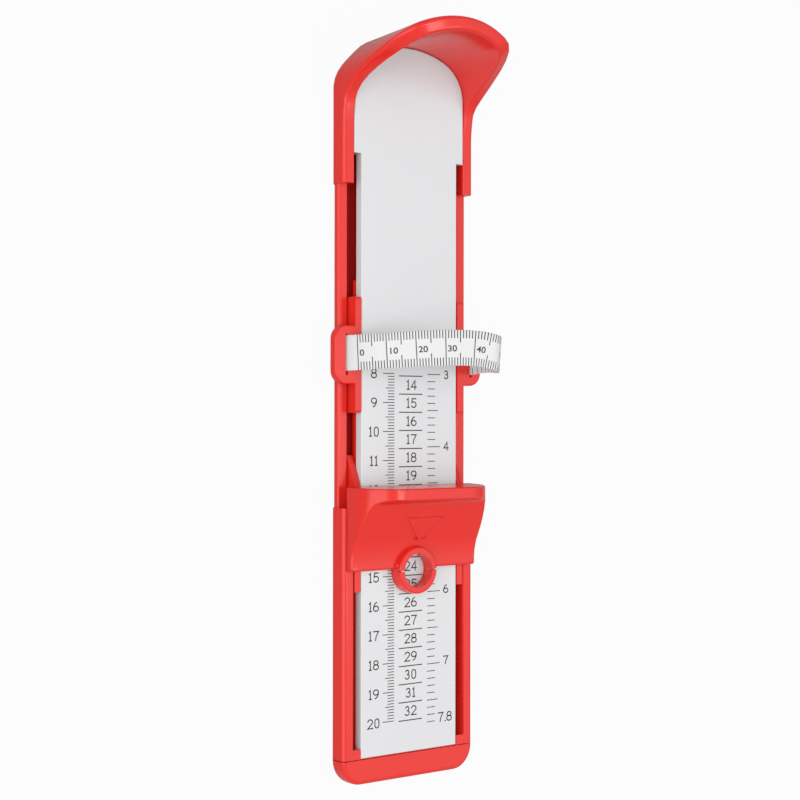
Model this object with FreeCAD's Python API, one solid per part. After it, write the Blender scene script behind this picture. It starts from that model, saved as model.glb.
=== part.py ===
import FreeCAD, Part
import math
import os

# Children's foot measuring device: a moulded tray with a heel cup, a scale plate,
# a toe stop that slides along the tray and a tape carriage that slides behind it.
# +X is across the tray, +Y runs towards the heel cup, +Z is up.  The origin is at
# the centre of the whole device, on the surface that it lies on.  Millimetres.

V = FreeCAD.Vector

# ---------------------------------------------------------------- tray
overall_length = 258.7      # heel cup's lip to the end cap's front
tray_width = 56.6
tray_height = 8.6           # underside to the top of the tall rails
wall = 4.5                  # rails and heel cup
low_rail_height = 4.6       # where the tape carriage runs
low_rail_length = 110.4
cap_length = 8.9
slot_stop = 3.35            # solid bridge between the slots and the end cap
heel_floor = 38.65          # full width floor in the heel cup
tall_lead = 10.25           # tall rail beside the slots, before the low rail starts
under_round = 3.7           # round along the lower outer edge
rail_round_out = 1.7        # rounds along the top of the tall rails
rail_round_in = 0.5
low_rail_round = 0.85       # and along the low rails' outer edge
low_rail_inset = 0.5        # the low rails' outer side stands back by this
rail_foot = 1.6             # the rails' feet reach inwards under the sliders
deck_thickness = 2.5        # floor that carries the scale plate
deck_ledge = 0.3            # the plate's edge overhangs the deck by this
deck_waist = 3.9            # extra inset of the deck behind the waist
waist_from_notch = 42.85    # length of the deck's waist
corner_steps = 8            # flats round a corner of the end cap or of an ear
rib = 1.2                   # ribs under the heel floor
rib_count = 3
rib_setback = 0.7           # first rib behind the heel floor's front, in rib pitches

# ---------------------------------------------------------------- heel cup
cup_back_radius = 38.0      # inner outline
cup_corner_radius = 14.5
cup_height = 32.2           # lip above the tall rails at the back
cup_crown = 5.0             # part of the height that the crown of the back loses
cup_foot = 2.0              # part of the height that is the soft run-out at the side
crown_run = 34.0            # along the wall, from the middle of the back
drop_start = 18.1
drop_end = 40.6
foot_start = 30.0
foot_end = 50.0
cup_flare = 0.4             # the lip's outer edge stands out over the wall by this
corner_thin = 2.1           # in the corners the wall's base is thinner by this
corner_flare = 0.5          # and the lip stands out further by this
lip_tilt = 2.2              # at the corners the lip's outer edge is higher
lip_round_out = 1.4
lip_round_in = 1.2
lip_blend = 8.0             # height over which the rail's rounds grow to the lip's
cup_sections = 41

# ---------------------------------------------------------------- scale plate
plate_thickness = 3.2
plate_width = 41.4          # between the slots
plate_gap = 0.15            # round the plate
plate_bevel = 0.25
stud_radius = 2.0
stud_fit = 0.05             # radial clearance of studs and pegs
stud_pitch = 62.0           # studs along the plate
stud_count = 3

# ---------------------------------------------------------------- base cover and end cap
cover_thickness = 1.2
cover_gap = 0.15
cap_corner_width = 8.0      # its corners are quarter ellipses
cap_straight = 0.2          # straight side between a corner and the seam
cap_seam = 0.3              # open seam between the end cap and the rails
cap_seam_depth = 1.0
cap_hollow = 4.6            # depth of the hollow in the end cap
cap_wall = 2.0
peg_radius = 1.1            # end cap's pegs in the rails
peg_length = 9.0
peg_root = 1.0              # pegs start this deep in the cap
peg_height = 5.4

# ---------------------------------------------------------------- sliders, both
slot_play = 0.3             # legs in the slots
ride_gap = 0.15             # under a slider, over what it rides on
keeper_thickness = 1.2
keeper_gap = 0.2            # under the deck
keeper_bar = 9.0            # width of the keepers' cross bars
keeper_spine = 4.5          # width of the bar along their middle
tab_width = 1.3             # tabs under the legs, through the keepers
tab_length = 5.0
tab_fit = 0.05
leg_end_round = 1.0

# ---------------------------------------------------------------- toe slider
toe_face = 151.95           # from the cup's inner back to the foot of the stop's face
toe_width = 53.8
toe_height = 16.5           # over the rails
toe_draft = 0.5             # the top of the face leans back by this
toe_corner_radius = 12.4
toe_band = 4.5              # thickness of the stop along the tray
toe_length = 28.8
toe_lip = 2.8               # thickness of the flat front lip
toe_lip_length = 6.7
toe_neck_radius = 6.0       # concave round under the band
toe_foot_radius = 20.0      # concave round where the slope runs out in the lip
toe_nose_radius = 0.9       # round along the lip's front edge
toe_edge_bevel = 0.4        # bevels along the band's edges
toe_slope_drop = 12.3       # height that the slope starts at, over the rails
toe_skin = 2.2              # walls round the hollows
toe_rib = 1.6
toe_leg_behind = 10.55      # legs reach past the toe face, towards the heel
toe_leg_front = 7.15        # and past the lip's front edge
toe_leg_fall = 5.0          # the legs' rear ends slope down by this
ring_radius = 8.1
ring_bore = 5.95
ring_height = 5.0           # over the rails
ring_ahead = 0.6            # the ring's centre is ahead of the lip's edge
ring_notch = 0.5
ring_round = 0.6
ring_steps = 4              # bevels that make up the round of its rim
toe_tab_share = 0.2         # tabs this share of the leg's length from its ends
arrow_width = 15.5
arrow_length = 9.0          # along the slope
arrow_lead = 5.6            # from the band to the arrow's base
arrow_rise = 0.35           # the arrow stands proud of the slope

# ---------------------------------------------------------------- tape carriage
tape_station = 107.2        # from the cup's inner back to the middle of the carriage
ear_length = 20.0
ear_reach = 3.5             # past the tray's side
ear_rise = 0.3              # over the tall rails
ear_corner_radius = 4.6
ear_round = 0.7
ear_under_round = 1.8
ear_rim = 2.5               # depth of the rounded rim
tape_leg_length = 39.5
slit_width = 1.0
slit_length = 14.0
slit_inset = 1.3            # from the tray's side to the slit's middle
tape_tab_share = 0.35       # tabs this share of the leg's length from its middle
tape_room = 3               # the tape's channels are this many thicknesses deep

# ---------------------------------------------------------------- measuring tape
tape_width = 12.0
tape_thickness = 0.3
tape_offset = 0.5           # the tape lies nearer to the heel in its slits
# the tape's line across the tray and its height, from the clamp to the loose end that
# is stored under the deck: the tape is springy, so it stands up in a loop between its slits
tape_points = [(-27.3, 4.75), (-27.3, 9.5), (-16.2, 22.5), (-4.1, 30.3), (7.8, 35.9),
               (15.1, 37.8), (18.6, 35.5), (21.6, 30.0), (25.6, 20.0), (27.0, 11.0),
               (27.0, 5.05), (23.2, 5.05), (23.2, 2.4), (-17.8, 2.4)]
bend_share = 0.45           # part of the shorter run that a bend takes up
tail_room = 3.0             # left free past the tape's end
clamp_width = 1.3
clamp_height = 1.6

# ---------------------------------------------------------------- places
half_width = tray_width / 2
inner_half = half_width - wall
heel_out_y = overall_length / 2
heel_in_y = heel_out_y - cup_flare - wall
front_y = -overall_length / 2
cap_y = front_y + cap_length
slot_front_y = cap_y + slot_stop
notch_y = heel_in_y - heel_floor
low_rear_y = notch_y - tall_lead
low_front_y = low_rear_y - low_rail_length
waist_y = notch_y - waist_from_notch
plate_half = plate_width / 2
seat_z = tray_height - plate_thickness
deck_z = seat_z - deck_thickness
deck_half = plate_half - deck_ledge
waist_half = deck_half - deck_waist
leg_in = plate_half + slot_play
leg_out = inner_half - slot_play
leg_mid = (leg_in + leg_out) / 2
keeper_top = deck_z - keeper_gap
keeper_z = keeper_top - keeper_thickness
toe_y = heel_in_y - toe_face
toe_front_y = toe_y - toe_length
ring_y = toe_front_y - ring_ahead
ride_z = tray_height + ride_gap
tape_y = heel_in_y - tape_station
ear_top = tray_height + ear_rise
slit_x = half_width - slit_inset


# ---------------------------------------------------------------- helpers
def block(x0, x1, y0, y1, z0, z1):
    """Box between two corners."""
    return Part.makeBox(x1 - x0, y1 - y0, z1 - z0, V(x0, y0, z0))


def mirrored(shape):
    """The same shape on the other side of the tray."""
    return shape.mirror(V(0, 0, 0), V(1, 0, 0))


def both_sides(shape):
    return [shape, mirrored(shape)]


def prism(points, direction):
    """Closed polygon of points, extruded."""
    wire = Part.makePolygon(list(points) + [points[0]])
    return Part.Face(wire).extrude(direction)


def joined(first, others):
    return first.fuse(others).removeSplitter()


def ease(start, end, s):
    """1 before start, 0 after end, half a cosine wave between them."""
    t = min(max((s - start) / (end - start), 0.0), 1.0)
    return (1 + math.cos(math.pi * t)) / 2


def corner(point, towards_a, towards_b, radius):
    """Tangent arc that rounds a corner: its start, a middle point and its end."""
    a = V(towards_a).normalize()
    b = V(towards_b).normalize()
    half = a.getAngle(b) / 2
    reach = radius / math.tan(half)
    bisector = (a + b).normalize()
    centre = point + bisector * (radius / math.sin(half))
    return point + a * reach, centre - bisector * radius, point + b * reach


def arc_edge(three):
    return Part.Arc(*three).toShape()


def line_edge(a, b):
    return Part.LineSegment(a, b).toShape()


def turned(centre, across, along, first, last):
    """Stations round a corner that is part of an ellipse: points and outward normals."""
    stations = []
    for i in range(corner_steps + 1):
        angle = math.radians(first + (last - first) * i / corner_steps)
        c, s = math.cos(angle), math.sin(angle)
        normal = V(c / across, s / along, 0).normalize()
        stations.append((centre + V(across * c, along * s, 0), normal))
    return stations


def rounded_slab(stations, depth, low, high, round_low, round_high):
    """Slab between two heights.  Its rim follows the stations of its outline, is as
    deep as depth and has rounded edges; the side without stations stays square."""
    up = V(0, 0, 1)
    sections, inner = [], []
    for point, normal in stations:
        base = point + up * low
        inner.append(base - normal * depth)
        roof = inner[-1] + up * (high - low)
        lower = corner(base, -normal, up, round_low)
        upper = corner(point + up * high, -up, -normal, round_high)
        edges = [line_edge(inner[-1], lower[0]), arc_edge(lower), line_edge(lower[2], upper[0]),
                 arc_edge(upper), line_edge(upper[2], roof), line_edge(roof, inner[-1])]
        sections.append(Part.Wire(edges))
    rim = Part.makeLoft(sections, True, True)
    return joined(rim, [prism(inner, up * (high - low))])


# ---------------------------------------------------------------- outline of the tray
def outline(grow):
    """Tray's inner outline, moved outwards by grow: centres and radii of its arcs."""
    back = cup_back_radius + grow
    side = cup_corner_radius + grow
    reach = cup_back_radius - cup_corner_radius
    corner_x = inner_half - cup_corner_radius
    back_y = heel_in_y - cup_back_radius
    corner_y = back_y + math.sqrt(reach ** 2 - corner_x ** 2)
    turn = math.atan2(corner_y - back_y, corner_x)
    return back, side, corner_x, corner_y, back_y, turn


def outline_face(grow, y_from):
    """Face inside the outline, from y_from to the heel."""
    back, side, corner_x, corner_y, back_y, turn = outline(grow)
    half = inner_half + grow
    c, s = math.cos(turn), math.sin(turn)
    c_mid, s_mid = math.cos(turn / 2), math.sin(turn / 2)
    joint = V(corner_x + side * c, corner_y + side * s, 0)
    middle = V(corner_x + side * c_mid, corner_y + side * s_mid, 0)
    start = V(half, corner_y, 0)

    def left(p):
        return V(-p.x, p.y, p.z)

    edges = [line_edge(V(half, y_from, 0), start), arc_edge((start, middle, joint)),
             arc_edge((joint, V(0, back_y + back, 0), left(joint))),
             arc_edge((left(joint), left(middle), left(start))),
             line_edge(left(start), V(-half, y_from, 0)),
             line_edge(V(-half, y_from, 0), V(half, y_from, 0))]
    return Part.Face(Part.Wire(edges))


def wall_station(s):
    """Point of the inner outline and outward normal, at s along the middle of the wall
    from the middle of the back; s is negative on the left side."""
    back, side, corner_x, corner_y, back_y, turn = outline(wall / 2)
    run = abs(s)
    sign = -1 if s < 0 else 1
    back_run = back * (math.pi / 2 - turn)
    corner_run = side * turn
    if run < back_run:
        angle = math.pi / 2 - run / back
        centre, radius = V(0, back_y, 0), cup_back_radius
    elif run < back_run + corner_run:
        angle = turn - (run - back_run) / side
        centre, radius = V(corner_x, corner_y, 0), cup_corner_radius
    else:
        y = corner_y - (run - back_run - corner_run)
        return V(sign * inner_half, y, 0), V(sign, 0, 0), 0.0
    normal = V(math.cos(angle), math.sin(angle), 0)
    point = centre + normal * radius
    return V(sign * point.x, point.y, 0), V(sign * normal.x, normal.y, 0), angle


def wall_section(origin, normal, top, round_out, round_in, tilt=0.0, thin=0.0, flare=0.0):
    """Upright section of a rail or of the cup's wall, as a closed wire.  The base is
    thinner by thin, the top wider by flare and its outer edge higher by tilt."""
    up = V(0, 0, 1)

    def at(n, z):
        return origin + normal * n + up * z

    inner_top = at(0, top - tilt / 2)
    outer_top = at(wall + flare, top + tilt / 2)
    outer_base = at(wall - thin, 0)
    across = outer_top - inner_top
    lean = outer_top - outer_base
    low = corner(outer_base, -normal, lean, under_round)
    outer = corner(outer_top, -lean, -across, round_out)
    inner = corner(inner_top, across, -up, round_in)
    foot = [at(0, cover_thickness), at(-rail_foot, cover_thickness), at(-rail_foot, 0)]
    edges = [line_edge(foot[2], low[0]), arc_edge(low), line_edge(low[2], outer[0]),
             arc_edge(outer), line_edge(outer[2], inner[0]), arc_edge(inner),
             line_edge(inner[2], foot[0]), line_edge(foot[0], foot[1]),
             line_edge(foot[1], foot[2])]
    return Part.Wire(edges)


def rail(y_from, y_to, height, round_out, inset=0.0):
    """Right-hand rail between two places; its outer side stands back by inset."""
    wire = wall_section(V(inner_half, y_from, 0), V(1, 0, 0), height,
                        round_out, rail_round_in, thin=inset, flare=-inset)
    return Part.Face(wire).extrude(V(0, y_to - y_from, 0))


def lip_height(s):
    """Height of the cup's lip over the tall rails, at s along the wall."""
    run = abs(s)
    drop = cup_height - cup_crown - cup_foot
    return (cup_crown * ease(0, crown_run, run) + drop * ease(drop_start, drop_end, run)
            + cup_foot * ease(foot_start, foot_end, run))


def heel_cup():
    """Wall of the cup: sections along the wall, each as high as the lip is there."""
    sections = []
    for i in range(cup_sections):
        s = foot_end * (2 * i / (cup_sections - 1) - 1)
        point, normal, angle = wall_station(s)
        rise = lip_height(s)
        share = min(1.0, rise / lip_blend)
        bow = math.sin(2 * angle) ** 2
        round_out = rail_round_out + (lip_round_out - rail_round_out) * share
        round_in = rail_round_in + (lip_round_in - rail_round_in) * share
        sections.append(wall_section(point, normal, tray_height + rise, round_out, round_in,
                                     lip_tilt * bow * share, corner_thin * bow,
                                     (cup_flare + corner_flare * bow) * share))
    return Part.makeLoft(sections, True, True)


# ---------------------------------------------------------------- fixed pieces
def stud_places():
    """Places of the scale plate's studs along the tray."""
    middle = (slot_front_y + notch_y) / 2
    first = middle - stud_pitch * (stud_count - 1) / 2
    return [V(0, first + stud_pitch * i, 0) for i in range(stud_count)]


def make_tray():
    cup = heel_cup()
    cup_start = wall_station(foot_end)[0].y
    pieces = both_sides(rail(low_rear_y, cup_start, tray_height, rail_round_out))
    pieces += both_sides(rail(low_front_y, low_rear_y, low_rail_height, low_rail_round,
                              low_rail_inset))
    pieces += both_sides(rail(cap_y, low_front_y, tray_height, rail_round_out))
    bite = wall / 3
    floor = outline_face(bite, notch_y).extrude(V(0, 0, deck_thickness))
    floor.translate(V(0, 0, deck_z))
    pieces.append(floor)
    pieces.append(block(-deck_half, deck_half, slot_front_y, waist_y, deck_z, seat_z))
    pieces.append(block(-waist_half, waist_half, waist_y, notch_y, deck_z, seat_z))
    pieces.append(block(-inner_half - bite, inner_half + bite, cap_y, slot_front_y,
                        deck_z, seat_z))
    pieces += both_sides(block(plate_half + plate_gap, inner_half + bite, cap_y, slot_front_y,
                               deck_z, tray_height))
    rib_zone = heel_in_y - notch_y - cup_corner_radius
    for i in range(rib_count):
        y = notch_y + rib_zone * (i + rib_setback) / rib_count
        pieces.append(block(-inner_half - bite, inner_half + bite, y, y + rib,
                            cover_thickness + cover_gap, deck_z))
    tray = joined(cup, pieces)
    for place in stud_places():
        tray = tray.cut(Part.makeCylinder(stud_radius + stud_fit, deck_thickness,
                                          place + V(0, 0, deck_z)))
    for side in (-1, 1):
        bore = Part.makeCylinder(peg_radius + stud_fit, peg_length + stud_fit,
                                 V(side * (inner_half + wall / 2), cap_y, peg_height),
                                 V(0, 1, 0))
        tray = tray.cut(bore)
    return tray


def make_scale_plate():
    wide = outline_face(-plate_gap, notch_y + plate_gap)
    wide = wide.extrude(V(0, 0, plate_thickness))
    narrow = block(-plate_half, plate_half, cap_y + plate_gap, notch_y + plate_gap * 2,
                   0, plate_thickness)
    plate = joined(wide, [narrow])
    rim = [e for e in plate.Edges if e.BoundBox.ZMin > plate_thickness - 0.01]
    plate = plate.makeChamfer(plate_bevel, rim)
    plate.translate(V(0, 0, seat_z))
    studs = [Part.makeCylinder(stud_radius, deck_thickness, place + V(0, 0, deck_z))
             for place in stud_places()]
    return joined(plate, studs)


def make_base_cover():
    """Flat cover that closes the underside between the rails' feet."""
    cover = outline_face(-rail_foot - cover_gap, cap_y + cover_gap)
    return cover.extrude(V(0, 0, cover_thickness))


def make_end_cap():
    """Rounded end of the tray, hollow towards the tray, with a peg for each rail.  It
    meets the rails inside an open seam."""
    seam_y = cap_y - cap_seam
    reach = cap_length - cap_seam - cap_straight
    centre = V(half_width - cap_corner_width, front_y + reach, 0)
    stations = [(V(-half_width, seam_y, 0), V(-1, 0, 0))]
    stations += turned(V(-centre.x, centre.y, 0), cap_corner_width, reach, 180, 270)
    stations += turned(centre, cap_corner_width, reach, 270, 360)
    stations += [(V(half_width, seam_y, 0), V(1, 0, 0))]
    body = rounded_slab(stations, wall, 0, tray_height, under_round, rail_round_out)
    inner = half_width - under_round
    body = joined(body, [block(-inner, inner, seam_y - peg_root, cap_y,
                               cap_seam_depth, tray_height - cap_seam_depth)])
    for side in both_sides(block(cap_wall / 2, inner_half - cap_wall, cap_y - cap_hollow,
                                 cap_y, cap_wall, tray_height - cap_wall)):
        body = body.cut(side)
    pegs = [Part.makeCylinder(peg_radius, peg_length + peg_root,
                              V(side * (inner_half + wall / 2), cap_y - peg_root, peg_height),
                              V(0, 1, 0)) for side in (-1, 1)]
    return joined(body, pegs)


# ---------------------------------------------------------------- toe slider
def toe_profile():
    """Side view of the toe stop: flat band, concave sweep and flat lip."""
    top = ride_z + toe_height
    lip_top = ride_z + toe_lip
    band_y = toe_y - toe_band
    lip_y = toe_front_y + toe_lip_length
    slope_z = ride_z + toe_slope_drop
    neck = corner(V(0, band_y, slope_z), V(0, 0, 1), V(0, lip_y - band_y,
                                                       lip_top - slope_z), toe_neck_radius)
    foot = corner(V(0, lip_y, lip_top), V(0, band_y - lip_y, slope_z - lip_top),
                  V(0, -1, 0), toe_foot_radius)
    nose = corner(V(0, toe_front_y, lip_top), V(0, 1, 0), V(0, 0, -1), toe_nose_radius)
    crest = V(0, toe_y - toe_draft, top)
    edges = [line_edge(V(0, toe_y, ride_z), crest), line_edge(crest, V(0, band_y, top)),
             line_edge(V(0, band_y, top), neck[0]), arc_edge(neck),
             line_edge(neck[2], foot[0]), arc_edge(foot), line_edge(foot[2], nose[0]),
             arc_edge(nose), line_edge(nose[2], V(0, toe_front_y, ride_z)),
             line_edge(V(0, toe_front_y, ride_z), V(0, toe_y, ride_z))]
    return Part.Face(Part.Wire(edges))


def toe_arch(half, height, radius):
    """Front view of the toe stop: an arch with round shoulders."""
    right = corner(V(half, toe_y, ride_z + height), V(0, 0, -1), V(-1, 0, 0), radius)
    left = [V(-p.x, p.y, p.z) for p in reversed(right)]
    edges = [line_edge(V(half, toe_y, ride_z), right[0]), arc_edge(right),
             line_edge(right[2], left[0]), arc_edge(left),
             line_edge(left[2], V(-half, toe_y, ride_z)),
             line_edge(V(-half, toe_y, ride_z), V(half, toe_y, ride_z))]
    return Part.Face(Part.Wire(edges)).extrude(V(0, -toe_length, 0))


def leg_profile(y_rear, y_front, top, fall):
    """Side view of a leg in its slot; its rear end slopes down by fall."""
    slope_y = y_rear - toe_leg_behind if fall else y_rear
    points = [V(leg_in, y_front, keeper_top), V(leg_in, y_front, top),
              V(leg_in, slope_y, top)]
    if fall:
        points.append(V(leg_in, y_rear, top - fall))
    points.append(V(leg_in, y_rear, keeper_top))
    return prism(points, V(leg_out - leg_in, 0, 0))


def tabs_at(places, fit=0.0):
    """Tabs under a leg, through the keeper, or with a fit the holes for them."""
    across = tab_width / 2 + fit
    along = tab_length / 2 + fit
    return [block(leg_mid - across, leg_mid + across, y - along, y + along,
                  keeper_z, keeper_top) for y in places]


def toe_tab_places():
    length = toe_length + toe_leg_front
    return [toe_y - length * share for share in (toe_tab_share, 1 - toe_tab_share)]


def make_toe_slider():
    side_view = toe_profile()
    side_view.translate(V(-toe_width / 2, 0, 0))
    body = side_view.extrude(V(toe_width, 0, 0))
    body = body.common(toe_arch(toe_width / 2, toe_height, toe_corner_radius))
    rims = [e for e in body.Edges if e.BoundBox.YLength < toe_draft + 0.01
            and e.CenterOfMass.y > toe_y - toe_band - 0.01 and e.BoundBox.ZMax > ride_z + toe_lip]
    body = body.makeChamfer(toe_edge_bevel, rims)

    # hollows between the skin, the ribs and the ring's collar
    hollow_y = ring_y + ring_radius + toe_skin
    chamber = (2 * leg_in - 2 * toe_skin - 2 * toe_rib) / 3
    slope_run = toe_y - toe_band - hollow_y
    slope_fall = toe_slope_drop - toe_lip
    slope_end = toe_front_y + toe_lip_length
    steep = slope_fall / (toe_y - toe_band - slope_end)
    roof_rear = ride_z + toe_slope_drop - toe_skin
    roof_front = roof_rear - steep * slope_run
    for i in (-1, 0, 1):
        x0 = i * (chamber + toe_rib) - chamber / 2
        points = [V(x0, toe_y - toe_skin, ride_z), V(x0, toe_y - toe_skin, roof_rear),
                  V(x0, toe_y - toe_band, roof_rear), V(x0, hollow_y, roof_front),
                  V(x0, hollow_y, ride_z)]
        body = body.cut(prism(points, V(chamber, 0, 0)))

    # ring window
    ring_top = ride_z + ring_height
    profile = [V(0, 0, 0), V(ring_radius, 0, 0)]
    for i in range(ring_steps + 1):
        angle = math.pi / 2 * i / ring_steps
        profile.append(V(ring_radius - ring_round * (1 - math.cos(angle)), 0,
                         ring_height - ring_round * (1 - math.sin(angle))))
    profile.append(V(0, 0, ring_height))
    face = Part.Face(Part.makePolygon(profile + [profile[0]]))
    collar = face.revolve(V(0, 0, 0), V(0, 0, 1), 360)
    collar.translate(V(0, ring_y, ride_z))
    body = joined(body, [collar])
    body = body.cut(Part.makeCylinder(ring_bore, ring_height + 2, V(0, ring_y, ride_z - 1)))
    for side in (-1, 1):
        x0 = min(side * (ring_bore - 1), side * (ring_radius + 1))
        notch = block(x0, x0 + ring_radius - ring_bore + 2, ring_y - ring_notch / 2,
                      ring_y + ring_notch / 2, ride_z + toe_lip, ring_top + 1)
        body = body.cut(notch)

    # legs, their tabs and the skirts above them
    rear = toe_y + toe_leg_behind
    front = toe_front_y - toe_leg_front
    legs = []
    for shape in [leg_profile(rear, front, tray_height, toe_leg_fall),
                  block(leg_in, leg_out, toe_front_y, toe_y, tray_height, ride_z + 1)]:
        legs += both_sides(shape)
    for tab in tabs_at(toe_tab_places()):
        legs += both_sides(tab)
    body = joined(body, legs)

    # arrow raised on the slope, pointing at the ring
    mark = prism([V(-arrow_width / 2, 0, 0), V(arrow_width / 2, 0, 0),
                  V(0, -arrow_length, 0)], V(0, 0, toe_skin))
    mark.rotate(V(0, 0, 0), V(1, 0, 0), math.degrees(math.atan(steep)))
    mark.translate(V(0, toe_y - toe_band - arrow_lead,
                     ride_z + toe_slope_drop - steep * arrow_lead + arrow_rise - toe_skin))
    return joined(body, [mark])


def make_keeper(y_rear, y_front, tab_places, channel=None):
    """Flat frame under the deck that joins the two legs of a slider."""
    plate = block(-leg_out, leg_out, y_front, y_rear, keeper_z, keeper_top)
    if channel is None:
        window = block(keeper_spine / 2, leg_in - keeper_bar / 2, y_front + keeper_bar,
                       y_rear - keeper_bar, keeper_z, keeper_top)
        plate = plate.cut(window).cut(mirrored(window))
    else:
        plate = plate.cut(channel)
    for hole in tabs_at(tab_places, tab_fit):
        for side in both_sides(hole):
            plate = plate.cut(side)
    return plate


# ---------------------------------------------------------------- tape carriage
def tape_tab_places():
    return [tape_y - tape_leg_length * share for share in (-tape_tab_share, tape_tab_share)]


def make_ear():
    """Right-hand ear: a flat shoe over the low rail with a leg in the slot."""
    y0 = tape_y - ear_length / 2
    y1 = tape_y + ear_length / 2
    x = half_width + ear_reach - ear_corner_radius
    low = low_rail_height + ride_gap
    stations = [(V(leg_in, y0, 0), V(0, -1, 0))]
    stations += turned(V(x, y0 + ear_corner_radius, 0), ear_corner_radius, ear_corner_radius,
                       270, 360)
    stations += turned(V(x, y1 - ear_corner_radius, 0), ear_corner_radius, ear_corner_radius,
                       0, 90)
    stations += [(V(leg_in, y1, 0), V(0, 1, 0))]
    shoe = rounded_slab(stations, ear_rim, low, ear_top, ear_under_round, ear_round)
    leg = block(leg_in, leg_out, tape_y - tape_leg_length / 2, tape_y + tape_leg_length / 2,
                keeper_top, ear_top)
    ends = [e for e in leg.Edges if e.BoundBox.ZMin > ear_top - 0.01
            and e.BoundBox.YLength < 0.1]
    leg = leg.makeFillet(leg_end_round, ends)
    ear = joined(shoe, [leg] + tabs_at(tape_tab_places()))
    slit = block(slit_x - slit_width / 2, slit_x + slit_width / 2, tape_y - slit_length / 2,
                 tape_y + slit_length / 2, low, ear_top)
    return ear.cut(slit)


def make_right_ear():
    """The tape passes under this ear, down its leg and into the keeper."""
    ear = make_ear()
    low = low_rail_height + ride_gap
    room = tape_thickness * tape_room
    y0 = tape_y - slit_length / 2
    y1 = tape_y + slit_length / 2
    turn_z = low + room + tape_thickness
    ear = ear.cut(block(leg_out - room, slit_x, y0, y1, low, turn_z))
    ear = ear.cut(block(leg_out - room, leg_out, y0, y1, keeper_top, turn_z))
    return ear.cut(block(leg_out - room * 2, leg_out, y0, y1, keeper_top, keeper_top + room))


def make_left_ear():
    """The tape's fixed end is clamped in this ear."""
    ear = mirrored(make_ear())
    low = low_rail_height + ride_gap
    y0 = tape_y - slit_length / 2
    y1 = tape_y + slit_length / 2
    x1 = tape_points[0][0] - tape_thickness / 2
    pocket = block(x1 - clamp_width - ride_gap, x1, y0, y1, low, low + clamp_height + ride_gap)
    return ear.cut(pocket)


def make_tape_clamp():
    """Bar that presses the tape's fixed end against the left ear."""
    low = low_rail_height + ride_gap
    x1 = tape_points[0][0] - tape_thickness / 2
    y0 = tape_y + tape_offset - tape_width / 2
    return block(x1 - clamp_width, x1, y0, y0 + tape_width, low, low + clamp_height)


# ---------------------------------------------------------------- measuring tape
def tape_route():
    return [V(x, 0, z) for x, z in tape_points]


def ribbon_face(points, thickness):
    """Side view of a ribbon: straight runs joined by tangent arcs, its length and radii."""
    spans = [(b - a).Length for a, b in zip(points, points[1:])]
    half = thickness / 2
    upper, lower = [], []
    radii = []
    length = 0.0
    here = points[0]
    for i, point in enumerate(points[1:], 1):
        ahead = (point - points[i - 1]).normalize()
        normal = V(-ahead.z, 0, ahead.x)
        last = i == len(points) - 1
        cut = 0.0 if last else bend_share * min(spans[i - 1], spans[i])
        start = point - ahead * cut
        length += (start - here).Length
        for edges, side in ((upper, half), (lower, -half)):
            edges.append(line_edge(here + normal * side, start + normal * side))
        if last:
            break
        after = (points[i + 1] - point).normalize()
        turn = ahead.getAngle(after)
        radius = cut / math.tan(turn / 2)
        radii.append(radius)
        bend = 1 if ahead.cross(after).y < 0 else -1
        centre = start + normal * (radius * bend)
        middle = (point - centre).normalize()
        here = point + after * cut
        length += radius * turn
        for edges, side in ((upper, half), (lower, -half)):
            edges.append(arc_edge((start + normal * side,
                                   centre + middle * (radius - side * bend),
                                   here + V(-after.z, 0, after.x) * side)))
    ends = [line_edge(upper[0].Vertexes[0].Point, lower[0].Vertexes[0].Point),
            line_edge(start + normal * half, start - normal * half)]
    return Part.Face(Part.Wire(Part.__sortEdges__(upper + lower + ends))), length, radii


def make_tape():
    face, length, radii = ribbon_face(tape_route(), tape_thickness)
    ribbon = face.extrude(V(0, tape_width, 0))
    ribbon.translate(V(0, tape_y + tape_offset - tape_width / 2, 0))
    print("tape length", round(length, 1), "radii", [round(r, 1) for r in radii])
    return ribbon


# ---------------------------------------------------------------- the device
def tape_keeper_channel():
    """Groove in the keeper's top for the tape's tail."""
    room = tape_thickness * (tape_room - 1)
    right = leg_out
    left = tape_points[-1][0] - tail_room
    return block(left, right, tape_y - slit_length / 2, tape_y + slit_length / 2,
                 keeper_top - room, keeper_top)


def build():
    toe_rear = toe_y + toe_leg_behind
    toe_front = toe_front_y - toe_leg_front
    tape_rear = tape_y + tape_leg_length / 2
    tape_front = tape_y - tape_leg_length / 2
    return {
        "tray": make_tray(),
        "scale_plate": make_scale_plate(),
        "base_cover": make_base_cover(),
        "end_cap": make_end_cap(),
        "toe_slider": make_toe_slider(),
        "toe_keeper": make_keeper(toe_rear, toe_front, toe_tab_places()),
        "tape_ear_left": make_left_ear(),
        "tape_ear_right": make_right_ear(),
        "tape_keeper": make_keeper(tape_rear, tape_front, tape_tab_places(),
                                   tape_keeper_channel()),
        "tape_clamp": make_tape_clamp(),
        "measuring_tape": make_tape(),
    }


def main():
    os.makedirs("parts", exist_ok=True)
    for name, shape in build().items():
        shape.exportStep(os.path.join("parts", name + ".step"))
        box = shape.BoundBox
        print(name, "valid" if shape.isValid() else "NOT VALID", len(shape.Solids), "solid",
              [round(v, 2) for v in (box.XMin, box.XMax, box.YMin, box.YMax, box.ZMin, box.ZMax)],
              round(shape.Volume, 1))


main()
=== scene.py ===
"""Children's foot measuring device: finish, printed scales, measuring tape, light and camera.

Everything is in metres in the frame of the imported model: +X across the tray, +Y along the
tray towards the heel cup, +Z up from the surface that the device lies on.  Layouts that are
given in millimetres say so, and are turned to metres with MM.
"""
import math

import bmesh
import bpy
import numpy as np
from mathutils import Matrix, Vector


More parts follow.
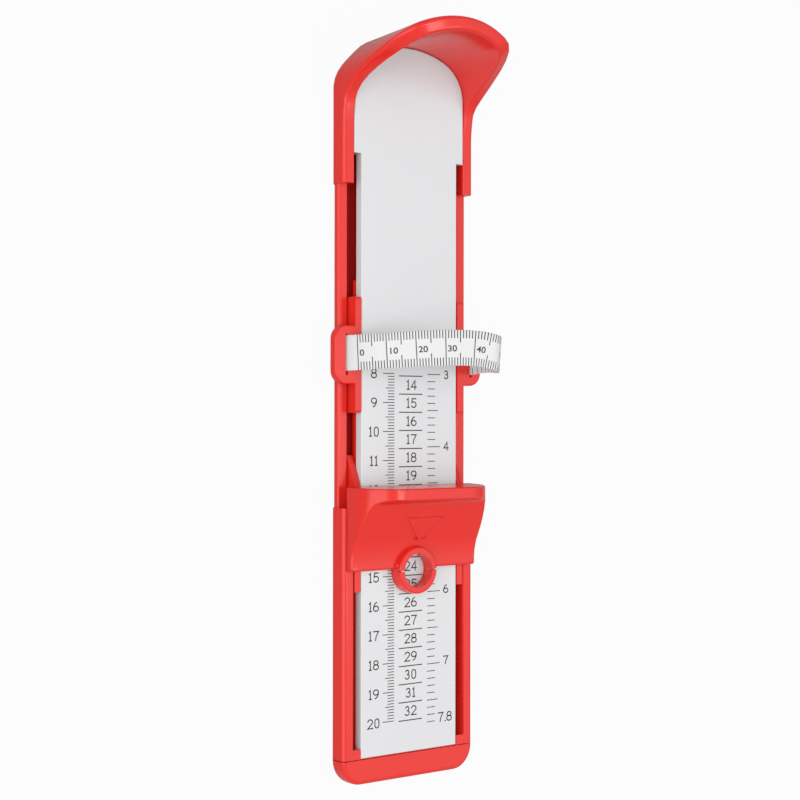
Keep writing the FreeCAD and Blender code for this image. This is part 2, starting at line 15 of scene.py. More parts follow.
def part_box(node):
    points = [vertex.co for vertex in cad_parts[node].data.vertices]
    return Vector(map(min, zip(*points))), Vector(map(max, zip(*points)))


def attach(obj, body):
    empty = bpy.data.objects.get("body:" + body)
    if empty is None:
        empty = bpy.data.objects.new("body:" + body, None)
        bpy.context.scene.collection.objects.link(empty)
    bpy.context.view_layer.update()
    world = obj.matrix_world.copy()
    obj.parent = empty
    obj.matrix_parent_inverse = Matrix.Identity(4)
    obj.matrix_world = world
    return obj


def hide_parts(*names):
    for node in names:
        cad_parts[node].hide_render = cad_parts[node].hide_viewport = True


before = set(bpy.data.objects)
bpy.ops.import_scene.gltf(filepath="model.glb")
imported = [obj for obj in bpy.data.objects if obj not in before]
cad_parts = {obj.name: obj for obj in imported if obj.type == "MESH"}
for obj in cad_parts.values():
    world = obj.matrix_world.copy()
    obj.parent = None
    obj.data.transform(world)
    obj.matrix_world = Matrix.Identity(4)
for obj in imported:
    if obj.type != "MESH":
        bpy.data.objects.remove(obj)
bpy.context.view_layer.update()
scene = bpy.context.scene
MM = 0.001

# ------------------------------------------------------------------ places read off the frame
SCALES_FROM_HEEL = 127.85 * MM        # from the plate's end in the cup to the scales' origin
plate_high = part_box("scale_plate")[1]
plate_top = plate_high.z
scale_origin_y = plate_high.y - SCALES_FROM_HEEL

# ------------------------------------------------------------------ materials
MIX_A, MIX_B, MIX_RESULT = 6, 7, 2    # numbers of a Mix node's colour sockets
WHITE = (1, 1, 1, 1)
FLOW_CLOUD = 22 * MM                  # size of the clouds where the plastic flowed
SMOOTHEST, ROUGHEST = 0.85, 1.2       # shares of the roughness over those clouds
WEAVE_PITCH_MM = 0.5                  # between the threads of the tape
WEAVE_DEPTH = 0.02 * MM
INK_SPECK = 0.6 * MM                  # size of the patches where ink took more or less


def linear(code):
    """sRGB hex to linear red, green, blue and alpha."""
    parts = [int(code[i:i + 2], 16) / 255 for i in (1, 3, 5)]
    return [c / 12.92 if c <= 0.04045 else ((c + 0.055) / 1.055) ** 2.4 for c in parts] + [1.0]


def add_node(tree, kind, settings=None, links=None):
    """Adds a node: settings fill sockets, by name or number, or properties; links join
    sockets to outputs."""
    node = tree.nodes.new(kind)
    for key, value in (settings or {}).items():
        if isinstance(key, int) or key in node.inputs:
            node.inputs[key].default_value = value
        else:
            setattr(node, key, value)
    for key, output in (links or {}).items():
        tree.links.new(output, node.inputs[key])
    return node


def new_material(name):
    """Empty node material, its tree and its output."""
    material = bpy.data.materials.new(name)
    material.use_nodes = True
    tree = material.node_tree
    tree.nodes.clear()
    return material, tree, add_node(tree, "ShaderNodeOutputMaterial")


def moulded_plastic(name, colour, roughness, grain_mm, grain_height_mm, ior, flow=0.02,
                    thrown=None):
    """Injection moulded plastic: an even colour with faint flow clouding, and the very
    fine orange peel that a polished steel mould leaves.  With a thrown colour, that one
    lights the surfaces around it instead of its own."""
    material, tree, output = new_material(name)
    place = add_node(tree, "ShaderNodeTexCoord").outputs["Object"]
    clouds = add_node(tree, "ShaderNodeTexNoise", {"Scale": 1 / FLOW_CLOUD, "Detail": 2.0},
                      {"Vector": place})
    tone = add_node(tree, "ShaderNodeMapRange", {"To Min": 1 - flow, "To Max": 1 + flow},
                    {"Value": clouds.outputs["Fac"]})
    base = add_node(tree, "ShaderNodeMix",
                    {"data_type": "RGBA", "blend_type": "MULTIPLY", "Factor": 1.0,
                     MIX_A: linear(colour)}, {MIX_B: tone.outputs["Result"]})
    peel = add_node(tree, "ShaderNodeTexNoise", {"Scale": 1 / (grain_mm * MM), "Detail": 1.0},
                    {"Vector": place})
    bump = add_node(tree, "ShaderNodeBump", {"Strength": 1.0, "Distance": grain_height_mm * MM},
                    {"Height": peel.outputs["Fac"]})
    rub = add_node(tree, "ShaderNodeMapRange",
                   {"To Min": roughness * SMOOTHEST, "To Max": roughness * ROUGHEST},
                   {"Value": clouds.outputs["Fac"]})
    surface = base.outputs[MIX_RESULT]
    if thrown:
        ray = add_node(tree, "ShaderNodeLightPath")
        seen = add_node(tree, "ShaderNodeMix", {"data_type": "RGBA", MIX_B: linear(thrown)},
                        {"Factor": ray.outputs["Is Diffuse Ray"], MIX_A: surface})
        surface = seen.outputs[MIX_RESULT]
    shader = add_node(tree, "ShaderNodeBsdfPrincipled", {"IOR": ior},
                      {"Base Color": surface, "Roughness": rub.outputs["Result"],
                       "Normal": bump.outputs["Normal"]})
    tree.links.new(shader.outputs["BSDF"], output.inputs["Surface"])
    return material


def coated_tape(name, colour):
    """Glass fibre tape coated with white PVC: satin, with its weave faint under the coat."""
    material, tree, output = new_material(name)
    place = add_node(tree, "ShaderNodeTexCoord").outputs["UV"]
    threads = [add_node(tree, "ShaderNodeTexWave",
                        {"bands_direction": direction, "Scale": 1 / WEAVE_PITCH_MM,
                         "Distortion": 0.3}, {"Vector": place}).outputs["Fac"]
               for direction in ("X", "Y")]
    weave = add_node(tree, "ShaderNodeMath", {"operation": "MULTIPLY"},
                     {0: threads[0], 1: threads[1]})
    bump = add_node(tree, "ShaderNodeBump", {"Strength": 0.5, "Distance": WEAVE_DEPTH},
                    {"Height": weave.outputs["Value"]})
    tone = add_node(tree, "ShaderNodeMapRange", {"To Min": 0.985, "To Max": 1.0},
                    {"Value": weave.outputs["Value"]})
    base = add_node(tree, "ShaderNodeMix",
                    {"data_type": "RGBA", "blend_type": "MULTIPLY", "Factor": 1.0,
                     MIX_A: linear(colour)}, {MIX_B: tone.outputs["Result"]})
    shader = add_node(tree, "ShaderNodeBsdfPrincipled", {"IOR": 1.53, "Roughness": 0.38},
                      {"Base Color": base.outputs[MIX_RESULT],
                       "Normal": bump.outputs["Normal"]})
    tree.links.new(shader.outputs["BSDF"], output.inputs["Surface"])
    return material


def printing_ink(name, colour):
    """Pad printed ink: matt, a little uneven where it took."""
    material, tree, output = new_material(name)
    place = add_node(tree, "ShaderNodeTexCoord").outputs["Object"]
    specks = add_node(tree, "ShaderNodeTexNoise", {"Scale": 1 / INK_SPECK, "Detail": 2.0},
                      {"Vector": place})
    tone = add_node(tree, "ShaderNodeMapRange", {"To Min": 0.8, "To Max": 1.2},
                    {"Value": specks.outputs["Fac"]})
    base = add_node(tree, "ShaderNodeMix",
                    {"data_type": "RGBA", "blend_type": "MULTIPLY", "Factor": 1.0,
                     MIX_A: linear(colour)}, {MIX_B: tone.outputs["Result"]})
    shader = add_node(tree, "ShaderNodeBsdfPrincipled", {"IOR": 1.5, "Roughness": 0.55},
                      {"Base Color": base.outputs[MIX_RESULT]})
    tree.links.new(shader.outputs["BSDF"], output.inputs["Surface"])
    return material


red_abs = moulded_plastic("moulded_ABS_red", "#F0271D", roughness=0.18, grain_mm=1.6,
                          grain_height_mm=0.003, ior=1.53, thrown="#CFA6A3")
# Painted shade: the base cover and the keepers sit down in the slots and under the plate, and
# they get a darker red than the tray so that the slots look as dark as their shade.
shade_darkened_abs = moulded_plastic("moulded_ABS_red_painted_shade", "#B30C0A", roughness=0.45, grain_mm=1.6,
                             grain_height_mm=0.005, ior=1.53)
white_styrene = moulded_plastic("moulded_polystyrene_white", "#E4E4E6", roughness=0.22,
                                grain_mm=2.2, grain_height_mm=0.004, ior=1.59, flow=0.006)
plate_ink = printing_ink("pad_printed_ink", "#2C2C2E")
tape_ink = printing_ink("tape_printing_ink", "#3A3A3C")
tape_coat = coated_tape("PVC_coated_tape", "#ECECED")

# ------------------------------------------------------------------ mesh helpers
MERGE_WITHIN = 0.002 * MM             # corners of loose triangles that are one corner
FLAT_WITHIN = math.radians(0.05)      # triangles of one flat face are joined below this
HARD_FROM = math.radians(28)          # edges sharper than this stay hard
CUT_WITHIN = 0.0001 * MM              # corners this near to a cut count as on it


def mesh_object(name, vertices, faces, material):
    """Object of one mesh at the origin, from arrays of points and of faces."""
    mesh = bpy.data.meshes.new(name)
    mesh.from_pydata(np.asarray(vertices, float).tolist(), [], [list(f) for f in faces])
    mesh.materials.append(material)
    mesh.update()
    obj = bpy.data.objects.new(name, mesh)
    scene.collection.objects.link(obj)
    return obj


def dressed(node, name, material, body, cuts=()):
    """Smooth shaded copy of a node's mesh: its loose triangles are merged, and long faces
    are cut at these places across the tray, in millimetres, so that they shade evenly."""
    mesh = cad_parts[node].data.copy()
    piece = bpy.data.objects.new(name, mesh)
    scene.collection.objects.link(piece)
    work = bmesh.new()
    work.from_mesh(mesh)
    bmesh.ops.remove_doubles(work, verts=work.verts, dist=MERGE_WITHIN)
    bmesh.ops.dissolve_limit(work, angle_limit=FLAT_WITHIN, verts=work.verts,
                             edges=work.edges)
    for across in cuts:
        bmesh.ops.bisect_plane(work, geom=work.verts[:] + work.edges[:] + work.faces[:],
                               dist=CUT_WITHIN, plane_co=(across * MM, 0, 0),
                               plane_no=(1, 0, 0))
    work.to_mesh(mesh)
    work.free()
    mesh.materials.clear()
    mesh.materials.append(material)
    mesh.shade_smooth()
    mesh.set_sharp_from_angle(angle=HARD_FROM)
    piece.modifiers.new("even_shading", "WEIGHTED_NORMAL").keep_sharp = True
    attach(piece, body)
    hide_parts(node)


# ------------------------------------------------------------------ camera
CAMERA_PLACE = (-342.0 * MM, -3.55 * MM, 456.8 * MM)
VIEW_RIGHT = (0.7986, 0.0013, 0.6018)         # direction that runs to the right in view


def place_camera():
    """Camera over the tray's left side, level with the middle of its length, and turned
    so that the tray stands upright in view."""
    data = bpy.data.cameras.new("camera")
    data.sensor_width = 36.0
    data.lens = 72.9
    data.shift_x = -0.0002
    data.shift_y = 0.02
    camera = bpy.data.objects.new("camera", data)
    scene.collection.objects.link(camera)
    camera.location = CAMERA_PLACE
    right = np.array(VIEW_RIGHT)
    back = np.cross(right, [0.0, 1.0, 0.0])
    back /= np.linalg.norm(back)
    turn = Matrix((right, np.cross(back, right), back)).transposed()
    camera.rotation_euler = turn.to_euler()
    scene.camera = camera


place_camera()

# ------------------------------------------------------------------ measuring tape
TAPE_WIDTH = 12.0 * MM
TAPE_THICKNESS = 0.3 * MM
# Controls of the tape's line, from the clamp to its loose end: across, along and height,
# in millimetres
TAPE_ROUTE = [(-27.3, 17.7, 4.75), (-27.3, 17.7, 9.5), (-16.2, 18.6, 22.5),
              (-4.1, 19.4, 30.3), (7.8, 19.5, 35.9), (15.1, 18.0, 37.8), (18.5, 17.1, 35.5),
              (21.6, 17.3, 30.0), (25.6, 17.8, 20.0), (27.0, 17.3, 11.0), (27.0, 17.0, 5.05),
              (23.2, 17.0, 5.05), (23.2, 16.8, 2.4), (-17.8, 16.8, 2.4)]
SLIT_TOP = 8.9 * MM                   # height where the tape comes out of the left slit
RISE_POINTS = 60                      # the line's first points, which only rise
LEAN = 0.06                           # how far the far end of the loop leans outwards
LEAN_OUT, LEAN_UP = 0.8, 0.6          # its direction, across the tray and upwards
LEAN_FLOOR, LEAN_RISE, LEAN_REACH = 9, 24, 18         # millimetres
TAPE_SIDE_FACES = 8                   # faces over the tape's width
TAPE_HARD_FROM = math.radians(60)


def route_points(route):
    """Points read off the smooth curve that has the route's points as its controls."""
    curve = bpy.data.curves.new("tape_route", "CURVE")
    curve.dimensions = "3D"
    spline = curve.splines.new("NURBS")
    spline.points.add(len(route) - 1)
    for point, place in zip(spline.points, route):
        point.co = [c * MM for c in place] + [1.0]
    spline.order_u = 3
    spline.use_endpoint_u = True
    spline.resolution_u = 24
    holder = bpy.data.objects.new("tape_route", curve)
    scene.collection.objects.link(holder)
    bpy.context.view_layer.update()
    mesh = bpy.data.meshes.new_from_object(holder)
    points = np.array([v.co for v in mesh.vertices], float)
    bpy.data.objects.remove(holder)
    bpy.data.meshes.remove(mesh)
    return points


def tape_frame(line):
    """Distance along the line, and at each point its width direction and outward normal.
    The width runs along the tray.  Past the tray's middle it leans outwards: by LEAN times
    the share of LEAN_RISE that the line is over LEAN_FLOOR, and of LEAN_REACH across."""
    steps = np.linalg.norm(np.diff(line, axis=0), axis=1)
    run = np.concatenate([[0.0], np.cumsum(steps)])
    along = np.gradient(line, axis=0)
    along /= np.linalg.norm(along, axis=1)[:, None]
    height = np.clip((line[:, 2] / MM - LEAN_FLOOR) / LEAN_RISE, 0, 1)
    across = np.clip(line[:, 0] / MM / LEAN_REACH, 0, 1)
    lean = LEAN * height * across
    wide = np.stack([LEAN_OUT * lean, np.ones_like(lean), LEAN_UP * lean], -1)
    wide -= along * (along * wide).sum(1)[:, None]
    wide /= np.linalg.norm(wide, axis=1)[:, None]
    return run, wide, np.cross(along, wide)


tape_line = route_points(TAPE_ROUTE)
tape_run, tape_wide, tape_out = tape_frame(tape_line)
loop_start = np.interp(SLIT_TOP, tape_line[:RISE_POINTS, 2], tape_run[:RISE_POINTS])


def on_tape(run, across, lift):
    """Places on the tape: run along it, across its width and lift off its middle; each
    place is the line's point plus across and lift times the width and normal there."""
    run, across, lift = np.broadcast_arrays(run, across, lift)
    mid, wide, out = (np.stack([np.interp(run, tape_run, table[:, i]) for i in range(3)], -1)
                      for table in (tape_line, tape_wide, tape_out))
    return mid + wide * across[..., None] + out * lift[..., None]


def make_tape():
    """Ribbon: a flat section with half-round edges, carried along the tape's line.  Its UV
    map is the run along the tape and the place across it, in millimetres."""
    half = TAPE_WIDTH / 2
    thick = TAPE_THICKNESS / 2
    corner = np.radians([90, 45, 0, -45, -90])
    edge = np.stack([half - thick + thick * np.cos(corner), thick * np.sin(corner)], -1)
    flat = np.linspace(half - thick, thick - half, TAPE_SIDE_FACES + 1)[1:-1]
    low = np.stack([flat, np.full_like(flat, -thick)], -1)
    section = np.concatenate([edge, low, -edge, -low])
    count = len(section)
    rows = len(tape_run)
    places = on_tape(tape_run[:, None], section[None, :, 0], section[None, :, 1])
    index = np.arange(rows * count).reshape(rows, count)
    ahead = np.roll(index, -1, axis=1)
    quads = np.stack([index[:-1], index[1:], ahead[1:], ahead[:-1]], -1).reshape(-1, 4)
    faces = quads.tolist() + [index[0].tolist(), index[-1][::-1].tolist()]
    tape = mesh_object("measuring_tape_ribbon", places.reshape(-1, 3), faces, tape_coat)
    layer = tape.data.uv_layers.new(name="along_and_across")
    marks = np.stack(np.broadcast_arrays(tape_run[:, None] / MM, section[None, :, 0] / MM),
                     -1).reshape(-1, 2)
    corners = np.empty(len(tape.data.loops), int)
    tape.data.loops.foreach_get("vertex_index", corners)
    layer.data.foreach_set("uv", marks[corners].ravel())
    tape.data.shade_smooth()
    tape.data.set_sharp_from_angle(angle=TAPE_HARD_FROM)
    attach(tape, "tape_carriage")
    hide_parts("measuring_tape")


make_tape()

# ------------------------------------------------------------------ drawn digits and marks
SHARPEST_MITRE = 0.4                  # least cosine that a stroke's corner is pushed out by


def strokes(lines, width):
    """Flat strokes of one width along lines of points, as arrays of points and quads;
    every corner is pushed out to the mitre, so that runs meet."""
    points, quads = [], []
    start = 0
    for line in lines:
        line = np.asarray(line, float)
        step = np.diff(line, axis=0)
        step /= np.linalg.norm(step, axis=1)[:, None]
        before = np.concatenate([step[:1], step])
        after = np.concatenate([step, step[-1:]])
        if np.allclose(line[0], line[-1]):
            before[0] = step[-1]
            after[-1] = step[0]
        else:
            line = line.copy()
            line[0] -= step[0] * width / 2
            line[-1] += step[-1] * width / 2
        tangent = before + after
        tangent /= np.linalg.norm(tangent, axis=1)[:, None]
        normal = np.stack([-tangent[:, 1], tangent[:, 0]], -1)
        cosine = np.clip((tangent * after).sum(1), SHARPEST_MITRE, 1.0)
        offset = normal * (width / 2 / cosine)[:, None]
        points.append(np.stack([line + offset, line - offset], 1).reshape(-1, 2))
        index = start + 2 * np.arange(len(line) - 1)
        quads.append(np.stack([index + 1, index + 3, index + 2, index], -1))
        start += 2 * len(line)
    return np.concatenate(points), np.concatenate(quads)


def arc(x, y, across, upright, first, last, count=14):
    """Part of an ellipse from one angle to another, in degrees."""
    angle = np.radians(np.linspace(first, last, count))
    return [(x + across * c, y + upright * s) for c, s in zip(np.cos(angle), np.sin(angle))]


# Centre lines of drafting digits in a cell one high: bowls are arcs of ellipses
DIGITS = {
    "0": [arc(0.36, 0.70, 0.25, 0.30, 0, 180) + arc(0.36, 0.30, 0.25, 0.30, 180, 360)
          + [(0.61, 0.70)]],
    "1": [[(0.11, 0.87), (0.24, 1.0), (0.24, 0.0)], [(0.11, 0.0), (0.37, 0.0)]],
    "2": [arc(0.36, 0.72, 0.29, 0.28, 165, -35) + [(0.06, 0.0), (0.68, 0.0)]],
    "3": [arc(0.35, 0.76, 0.22, 0.24, 150, -80) + arc(0.35, 0.27, 0.26, 0.27, 80, -150)],
    "4": [[(0.52, 0.0), (0.52, 1.0), (0.05, 0.27), (0.68, 0.27)]],
    "5": [[(0.62, 1.0), (0.17, 1.0), (0.12, 0.55)] + arc(0.35, 0.32, 0.31, 0.32, 130, -150)],
    "6": [arc(0.58, 0.30, 0.53, 0.70, 105, 180), arc(0.36, 0.29, 0.31, 0.29, 0, 360, 24)],
    "7": [[(0.06, 1.0), (0.68, 1.0), (0.38, 0.42), (0.31, 0.0)]],
    "8": [arc(0.36, 0.76, 0.26, 0.24, 0, 360, 24), arc(0.36, 0.27, 0.31, 0.27, 0, 360, 24)],
    "9": [arc(0.14, 0.70, 0.53, 0.70, 0, -75), arc(0.36, 0.71, 0.31, 0.29, 0, 360, 24)],
    ".": [[(0.10, 0.0), (0.16, 0.0)]],
}
DIGIT_ADVANCE = 0.84                  # from one digit to the next, in cells
NARROW_ADVANCE = {".": 0.28, "1": 0.58}
DIGIT_GAP = 0.12                      # part of the advance that is left free
DIGIT_STRETCH = 1.12                  # width over that of a plain digit


def number_lines(text, x, y, height):
    """Centre lines of a number, centred on a place."""
    advance = [NARROW_ADVANCE.get(sign, DIGIT_ADVANCE) for sign in text]
    left = -(sum(advance) - DIGIT_GAP) / 2
    lines = []
    for sign, width in zip(text, advance):
        for line in DIGITS[sign]:
            cell = np.asarray(line) + [left, -0.5]
            lines.append(cell * [height * DIGIT_STRETCH, height] + [x, y])
        left += width
    return lines


def rung(x0, x1, y):
    """Straight mark across the plate."""
    return [(x0, y), (x1, y)]


def reach_of(mark, whole, reaches):
    """The first reach for a mark at whole steps, the next at half steps, else the last."""
    if mark % whole == 0:
        return reaches[0]
    return reaches[1] if mark % (whole // 2) == 0 else reaches[2]


# ------------------------------------------------------------------ print on the plate
# In millimetres: across from the tray's middle, and along from the scales' origin
LARGE_DIGIT, SMALL_DIGIT = 3.05, 2.75      # heights of the digits' centre lines
FINE_LINE, BOLD_LINE, DIGIT_LINE = 0.28, 0.36, 0.42
PLATE_INK_LIFT = 0.02
CM_TOP, CM_MARKS = 14.66, range(80, 201)   # place of the first mark, and the millimetres
CM_EDGE, CM_REACHES = -6.9, (-11.5, -10.4, -9.4)
CM_NUMBER_X, CM_NUMBER_DROP = -15.5, 0.05
SIZE_TOP, SIZE_STEP, SIZE_RUNGS = 13.88, 6.297, 20
SIZE_LEFT, SIZE_RIGHT = -4.62, 5.3
SIZE_BEFORE_FIRST = 13                     # the first size stands over the second rung
SIZE_NUMBER_RISE = 0.513                   # of a step, over its rung
TEENS_X, TWENTIES_X = 0.65, 0.4            # sizes below 20, with their narrow 1, and the rest
INCH_TOP, INCH_TENTHS = 14.6, range(30, 79)
TENTH_OF_INCH = 2.54
INCH_EDGE, INCH_REACHES = 7.86, (13.2, 12.2, 10.99)
INCH_NUMBER_X, INCH_NUMBER_DRIFT = 16.05, 0.018
LAST_INCH_X, LAST_INCH_RISE = 15.7, 1.05


def make_plate_print():
    """Centimetres on the left, shoe sizes in the middle and inches on the right."""
    fine, bold, digits = [], [], []
    for mark in CM_MARKS:
        y = CM_TOP + CM_MARKS[0] - mark
        fine.append(rung(reach_of(mark, 10, CM_REACHES), CM_EDGE, y))
        if mark % 10 == 0:
            digits += number_lines(str(mark // 10), CM_NUMBER_X, y - CM_NUMBER_DROP,
                                   LARGE_DIGIT)
    for i in range(SIZE_RUNGS):
        y = SIZE_TOP - SIZE_STEP * i
        bold.append(rung(SIZE_LEFT, SIZE_RIGHT, y))
        if i > 0:
            size = SIZE_BEFORE_FIRST + i
            digits += number_lines(str(size), TEENS_X if size < 20 else TWENTIES_X,
                                   y + SIZE_NUMBER_RISE * SIZE_STEP, LARGE_DIGIT)
    for i, tenth in enumerate(INCH_TENTHS):
        y = INCH_TOP - TENTH_OF_INCH * i
        fine.append(rung(INCH_EDGE, reach_of(tenth, 10, INCH_REACHES), y))
        if tenth % 10 == 0:
            digits += number_lines(str(tenth // 10), INCH_NUMBER_X, y + INCH_NUMBER_DRIFT * i,
                                   SMALL_DIGIT)
    digits += number_lines("7.8", LAST_INCH_X, y + LAST_INCH_RISE, LARGE_DIGIT)
    points, faces = [], []
    start = 0
    for lines, width in ((fine, FINE_LINE), (bold, BOLD_LINE), (digits, DIGIT_LINE)):
        flat, quads = strokes(lines, width)
        points.append(flat)
        faces.append(quads + start)
        start += len(flat)
    flat = np.concatenate(points) * MM
    lift = np.full(len(flat), plate_top + PLATE_INK_LIFT * MM)
    places = np.stack([flat[:, 0], flat[:, 1] + scale_origin_y, lift], -1)
    marks = mesh_object("plate_scales_print", places, np.concatenate(faces), plate_ink)
    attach(marks, "gauge")


# ------------------------------------------------------------------ print on the tape
TAPE_INK_LIFT = 0.015 * MM
TAPE_MARGIN = 0.05 * MM               # left free at the tape's edges
TAPE_ZERO = loop_start + 3.6 * MM     # run of the zero mark
FRONT_MARKS, BACK_MARKS = 61, 26
FRONT_LONG, FRONT_SHORT = 4.2, 2.7    # millimetres; every tenth mark runs right across
EIGHTH_OF_INCH = 3.175                # millimetres
BACK_REACHES = (5.5, 3.6, 2.4)        # millimetres, for halves, quarters and eighths
HALF_MARK = 0.16 * MM                 # half a mark's width
TAPE_DIGIT = 2.15 * MM
TAPE_DIGIT_WEIGHT = 0.018             # drawn this much fatter, of the letter height
TAPE_DIGIT_DROP = 0.2 * MM
TAPE_DIGIT_GAP, TAPE_TEN_GAP = 0.7 * MM, 1.2 * MM     # from the mark to its number


def make_tape_marks():
    """Millimetre marks on the tape's front and eighths of an inch on its back."""
    thick = TAPE_THICKNESS / 2 + TAPE_INK_LIFT
    half = TAPE_WIDTH / 2 - TAPE_MARGIN
    bars = []
    for mark in range(FRONT_MARKS):
        if mark % 10 == 0:
            bars.append((mark, -half, half, 1))
            continue
        reach = (FRONT_LONG if mark % 5 == 0 else FRONT_SHORT) * MM
        bars.append((mark, half - reach, half, 1))
        bars.append((mark, -half, reach - half, 1))
    for mark in range(BACK_MARKS):
        reach = reach_of(mark, 4, BACK_REACHES) * MM
        bars.append((mark * EIGHTH_OF_INCH, half - reach, half, -1))
        bars.append((mark * EIGHTH_OF_INCH, -half, reach - half, -1))
    mark, low, high, side = (np.array(column, float) for column in zip(*bars))
    run = TAPE_ZERO + mark * MM
    corners = []
    for ahead, across in ((-1, low), (1, low), (1, high), (-1, high)):
        corners.append(on_tape(run + ahead * HALF_MARK, across, side * thick))
    places = np.stack(corners, 1)
    places[side < 0] = places[side < 0][:, ::-1]
    faces = np.arange(len(bars) * 4).reshape(-1, 4)
    ticks = mesh_object("tape_marks_print", places.reshape(-1, 3), faces, tape_ink)
    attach(ticks, "tape_carriage")


def make_tape_number(mark):
    """Number after its mark, laid on the tape's front: a flat letter curve made a mesh."""
    curve = bpy.data.curves.new("tape_number", "FONT")
    curve.body = str(mark)
    curve.size = 1.0
    curve.offset = TAPE_DIGIT_WEIGHT
    holder = bpy.data.objects.new("tape_number", curve)
    scene.collection.objects.link(holder)
    bpy.context.view_layer.update()
    mesh = bpy.data.meshes.new_from_object(holder)
    bpy.data.objects.remove(holder)
    flat = np.array([v.co for v in mesh.vertices], float)
    low, high = flat.min(0), flat.max(0)
    scale = TAPE_DIGIT / (high[1] - low[1])
    flat = (flat - [low[0], (low[1] + high[1]) / 2, 0]) * [DIGIT_STRETCH * scale, scale, 0]
    gap = TAPE_TEN_GAP if mark == 10 else TAPE_DIGIT_GAP
    places = on_tape(TAPE_ZERO + mark * MM + gap + flat[:, 0], flat[:, 1] - TAPE_DIGIT_DROP,
                     TAPE_THICKNESS / 2 + TAPE_INK_LIFT)
    mesh.vertices.foreach_set("co", places.ravel())
    mesh.materials.clear()
    mesh.materials.append(tape_ink)
    number = bpy.data.objects.new("tape_number_%d" % mark, mesh)
    scene.collection.objects.link(number)
    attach(number, "tape_carriage")


make_plate_print()
make_tape_marks()
for mark in range(0, FRONT_MARKS - 1, 10):
    make_tape_number(mark)

# ------------------------------------------------------------------ moulded pieces
# The pieces with the darker red carry painted shade for the slots and the space under the
# plate.
MOULDED = {
    "tray": ("tray_shell", red_abs, "gauge"),
    "base_cover": ("base_cover_panel", shade_darkened_abs, "gauge"),
    "end_cap": ("end_cap_shell", red_abs, "gauge"),
    "toe_slider": ("toe_stop_shell", red_abs, "toe_stop"),
    "toe_keeper": ("toe_keeper_frame", shade_darkened_abs, "toe_stop"),
    "tape_ear_left": ("tape_ear_left_shell", red_abs, "tape_carriage"),
    "tape_ear_right": ("tape_ear_right_shell", red_abs, "tape_carriage"),
    "tape_keeper": ("tape_keeper_plate", shade_darkened_abs, "tape_carriage"),
    "tape_clamp": ("tape_clamp_bar", red_abs, "tape_carriage"),
}
CUTS = {"toe_slider": range(-24, 25, 4)}      # across the toe stop's long swept faces
for node, (name, material, body) in MOULDED.items():
    dressed(node, name, material, body, CUTS.get(node, ()))
dressed("scale_plate", "scale_plate_panel", white_styrene, "gauge")

# ------------------------------------------------------------------ floor and light
FLOOR_HALF = 6.0
FLOOR_DROP = 0.05 * MM                # the floor lies this far under the device
FLOOR_GLOW = 0.95                     # share of plain white in what the lens sees of it
SKY_SLOPE, SKY_LEVEL = (-0.22, -0.1, 0.2), 0.48
PATCH_AIM, PATCH_SHARPNESS, PATCH_POWER = (0.6, 0.0, 0.8), 8.0, 0.7


def make_floor():
    """Pale floor that shows white to the lens and still takes a faint shadow."""
    corners = [(x * FLOOR_HALF, y * FLOOR_HALF, -FLOOR_DROP)
               for x, y in ((-1, -1), (1, -1), (1, 1), (-1, 1))]
    material, tree, output = new_material("painted_studio_floor")
    paint = add_node(tree, "ShaderNodeBsdfDiffuse", {"Color": linear("#BEBEBE")})
    glow = add_node(tree, "ShaderNodeEmission", {"Color": WHITE, "Strength": 1.0})
    ray = add_node(tree, "ShaderNodeLightPath")
    share = add_node(tree, "ShaderNodeMath", {"operation": "MULTIPLY", 1: FLOOR_GLOW},
                     {0: ray.outputs["Is Camera Ray"]})
    mix = add_node(tree, "ShaderNodeMixShader", None,
                   {"Fac": share.outputs["Value"], 1: paint.outputs["BSDF"],
                    2: glow.outputs["Emission"]})
    tree.links.new(mix.outputs["Shader"], output.inputs["Surface"])
    floor = mesh_object("studio_floor", corners, [(0, 1, 2, 3)], material)


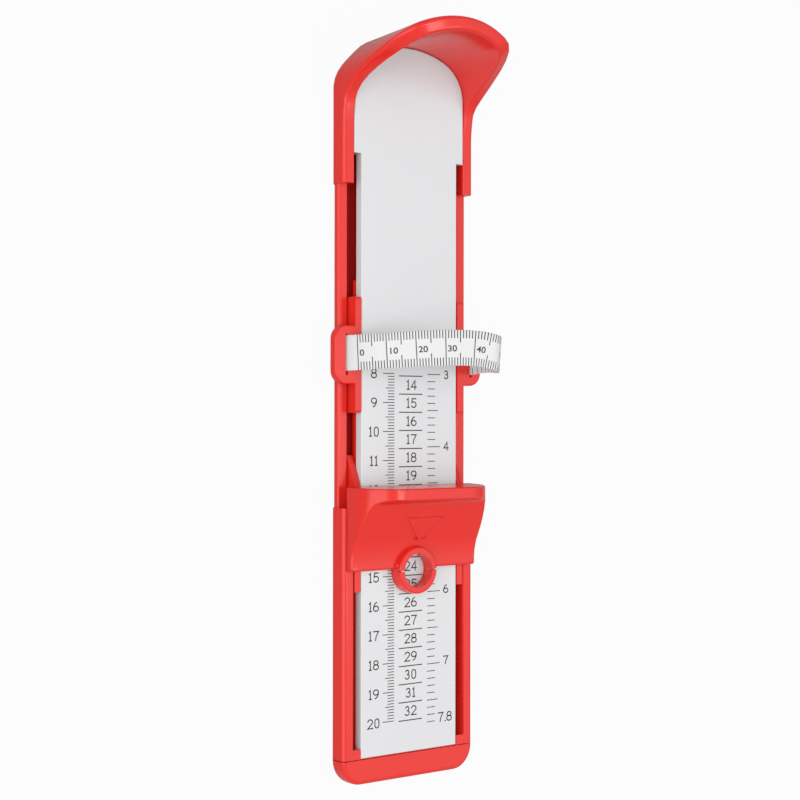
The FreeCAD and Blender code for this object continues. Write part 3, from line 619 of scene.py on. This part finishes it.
def make_world():
    """White surroundings with one soft bright patch; the lens sees plain white.  In a
    direction d they shine with SKY_LEVEL + SKY_SLOPE . d, brighter overhead and on the
    left, + PATCH_POWER * max(0, PATCH_AIM . d) ** PATCH_SHARPNESS."""
    world = bpy.data.worlds.new("studio")
    world.use_nodes = True
    tree = world.node_tree
    tree.nodes.clear()
    output = add_node(tree, "ShaderNodeOutputWorld")
    towards = add_node(tree, "ShaderNodeTexCoord").outputs["Generated"]
    slope = add_node(tree, "ShaderNodeVectorMath", {"operation": "DOT_PRODUCT", 1: SKY_SLOPE},
                     {0: towards})
    level = add_node(tree, "ShaderNodeMath", {"operation": "ADD", 1: SKY_LEVEL},
                     {0: slope.outputs["Value"]})
    aim = add_node(tree, "ShaderNodeVectorMath", {"operation": "DOT_PRODUCT", 1: PATCH_AIM},
                   {0: towards})
    ahead = add_node(tree, "ShaderNodeMath", {"operation": "MAXIMUM", 1: 0.0},
                     {0: aim.outputs["Value"]})
    lobe = add_node(tree, "ShaderNodeMath", {"operation": "POWER", 1: PATCH_SHARPNESS},
                    {0: ahead.outputs["Value"]})
    total = add_node(tree, "ShaderNodeMath", {"operation": "MULTIPLY_ADD", 1: PATCH_POWER},
                     {0: lobe.outputs["Value"], 2: level.outputs["Value"]})
    ambient = add_node(tree, "ShaderNodeBackground", {"Color": WHITE},
                       {"Strength": total.outputs["Value"]})
    seen = add_node(tree, "ShaderNodeBackground", {"Color": WHITE, "Strength": 1.0})
    ray = add_node(tree, "ShaderNodeLightPath")
    mix = add_node(tree, "ShaderNodeMixShader", None,
                   {"Fac": ray.outputs["Is Camera Ray"], 1: ambient.outputs["Background"],
                    2: seen.outputs["Background"]})
    tree.links.new(mix.outputs["Shader"], output.inputs["Surface"])
    scene.world = world


def softbox(name, place, across, upright, power):
    """Rectangular area lamp at a place, facing the middle of the object."""
    data = bpy.data.lights.new(name, "AREA")
    data.shape = "RECTANGLE"
    data.size = across
    data.size_y = upright
    data.energy = power
    lamp = bpy.data.objects.new(name, data)
    scene.collection.objects.link(lamp)
    lamp.location = place
    lamp.rotation_euler = (-Vector(place)).to_track_quat("-Z", "Y").to_euler()


make_floor()
make_world()
softbox("key_softbox", (-0.88, -0.03, 0.7), across=0.9, upright=1.2, power=4.6)
softbox("crest_softbox", (0.36, -0.05, 1.0), across=0.28, upright=0.4, power=1.0)

scene.view_settings.view_transform = "Standard"
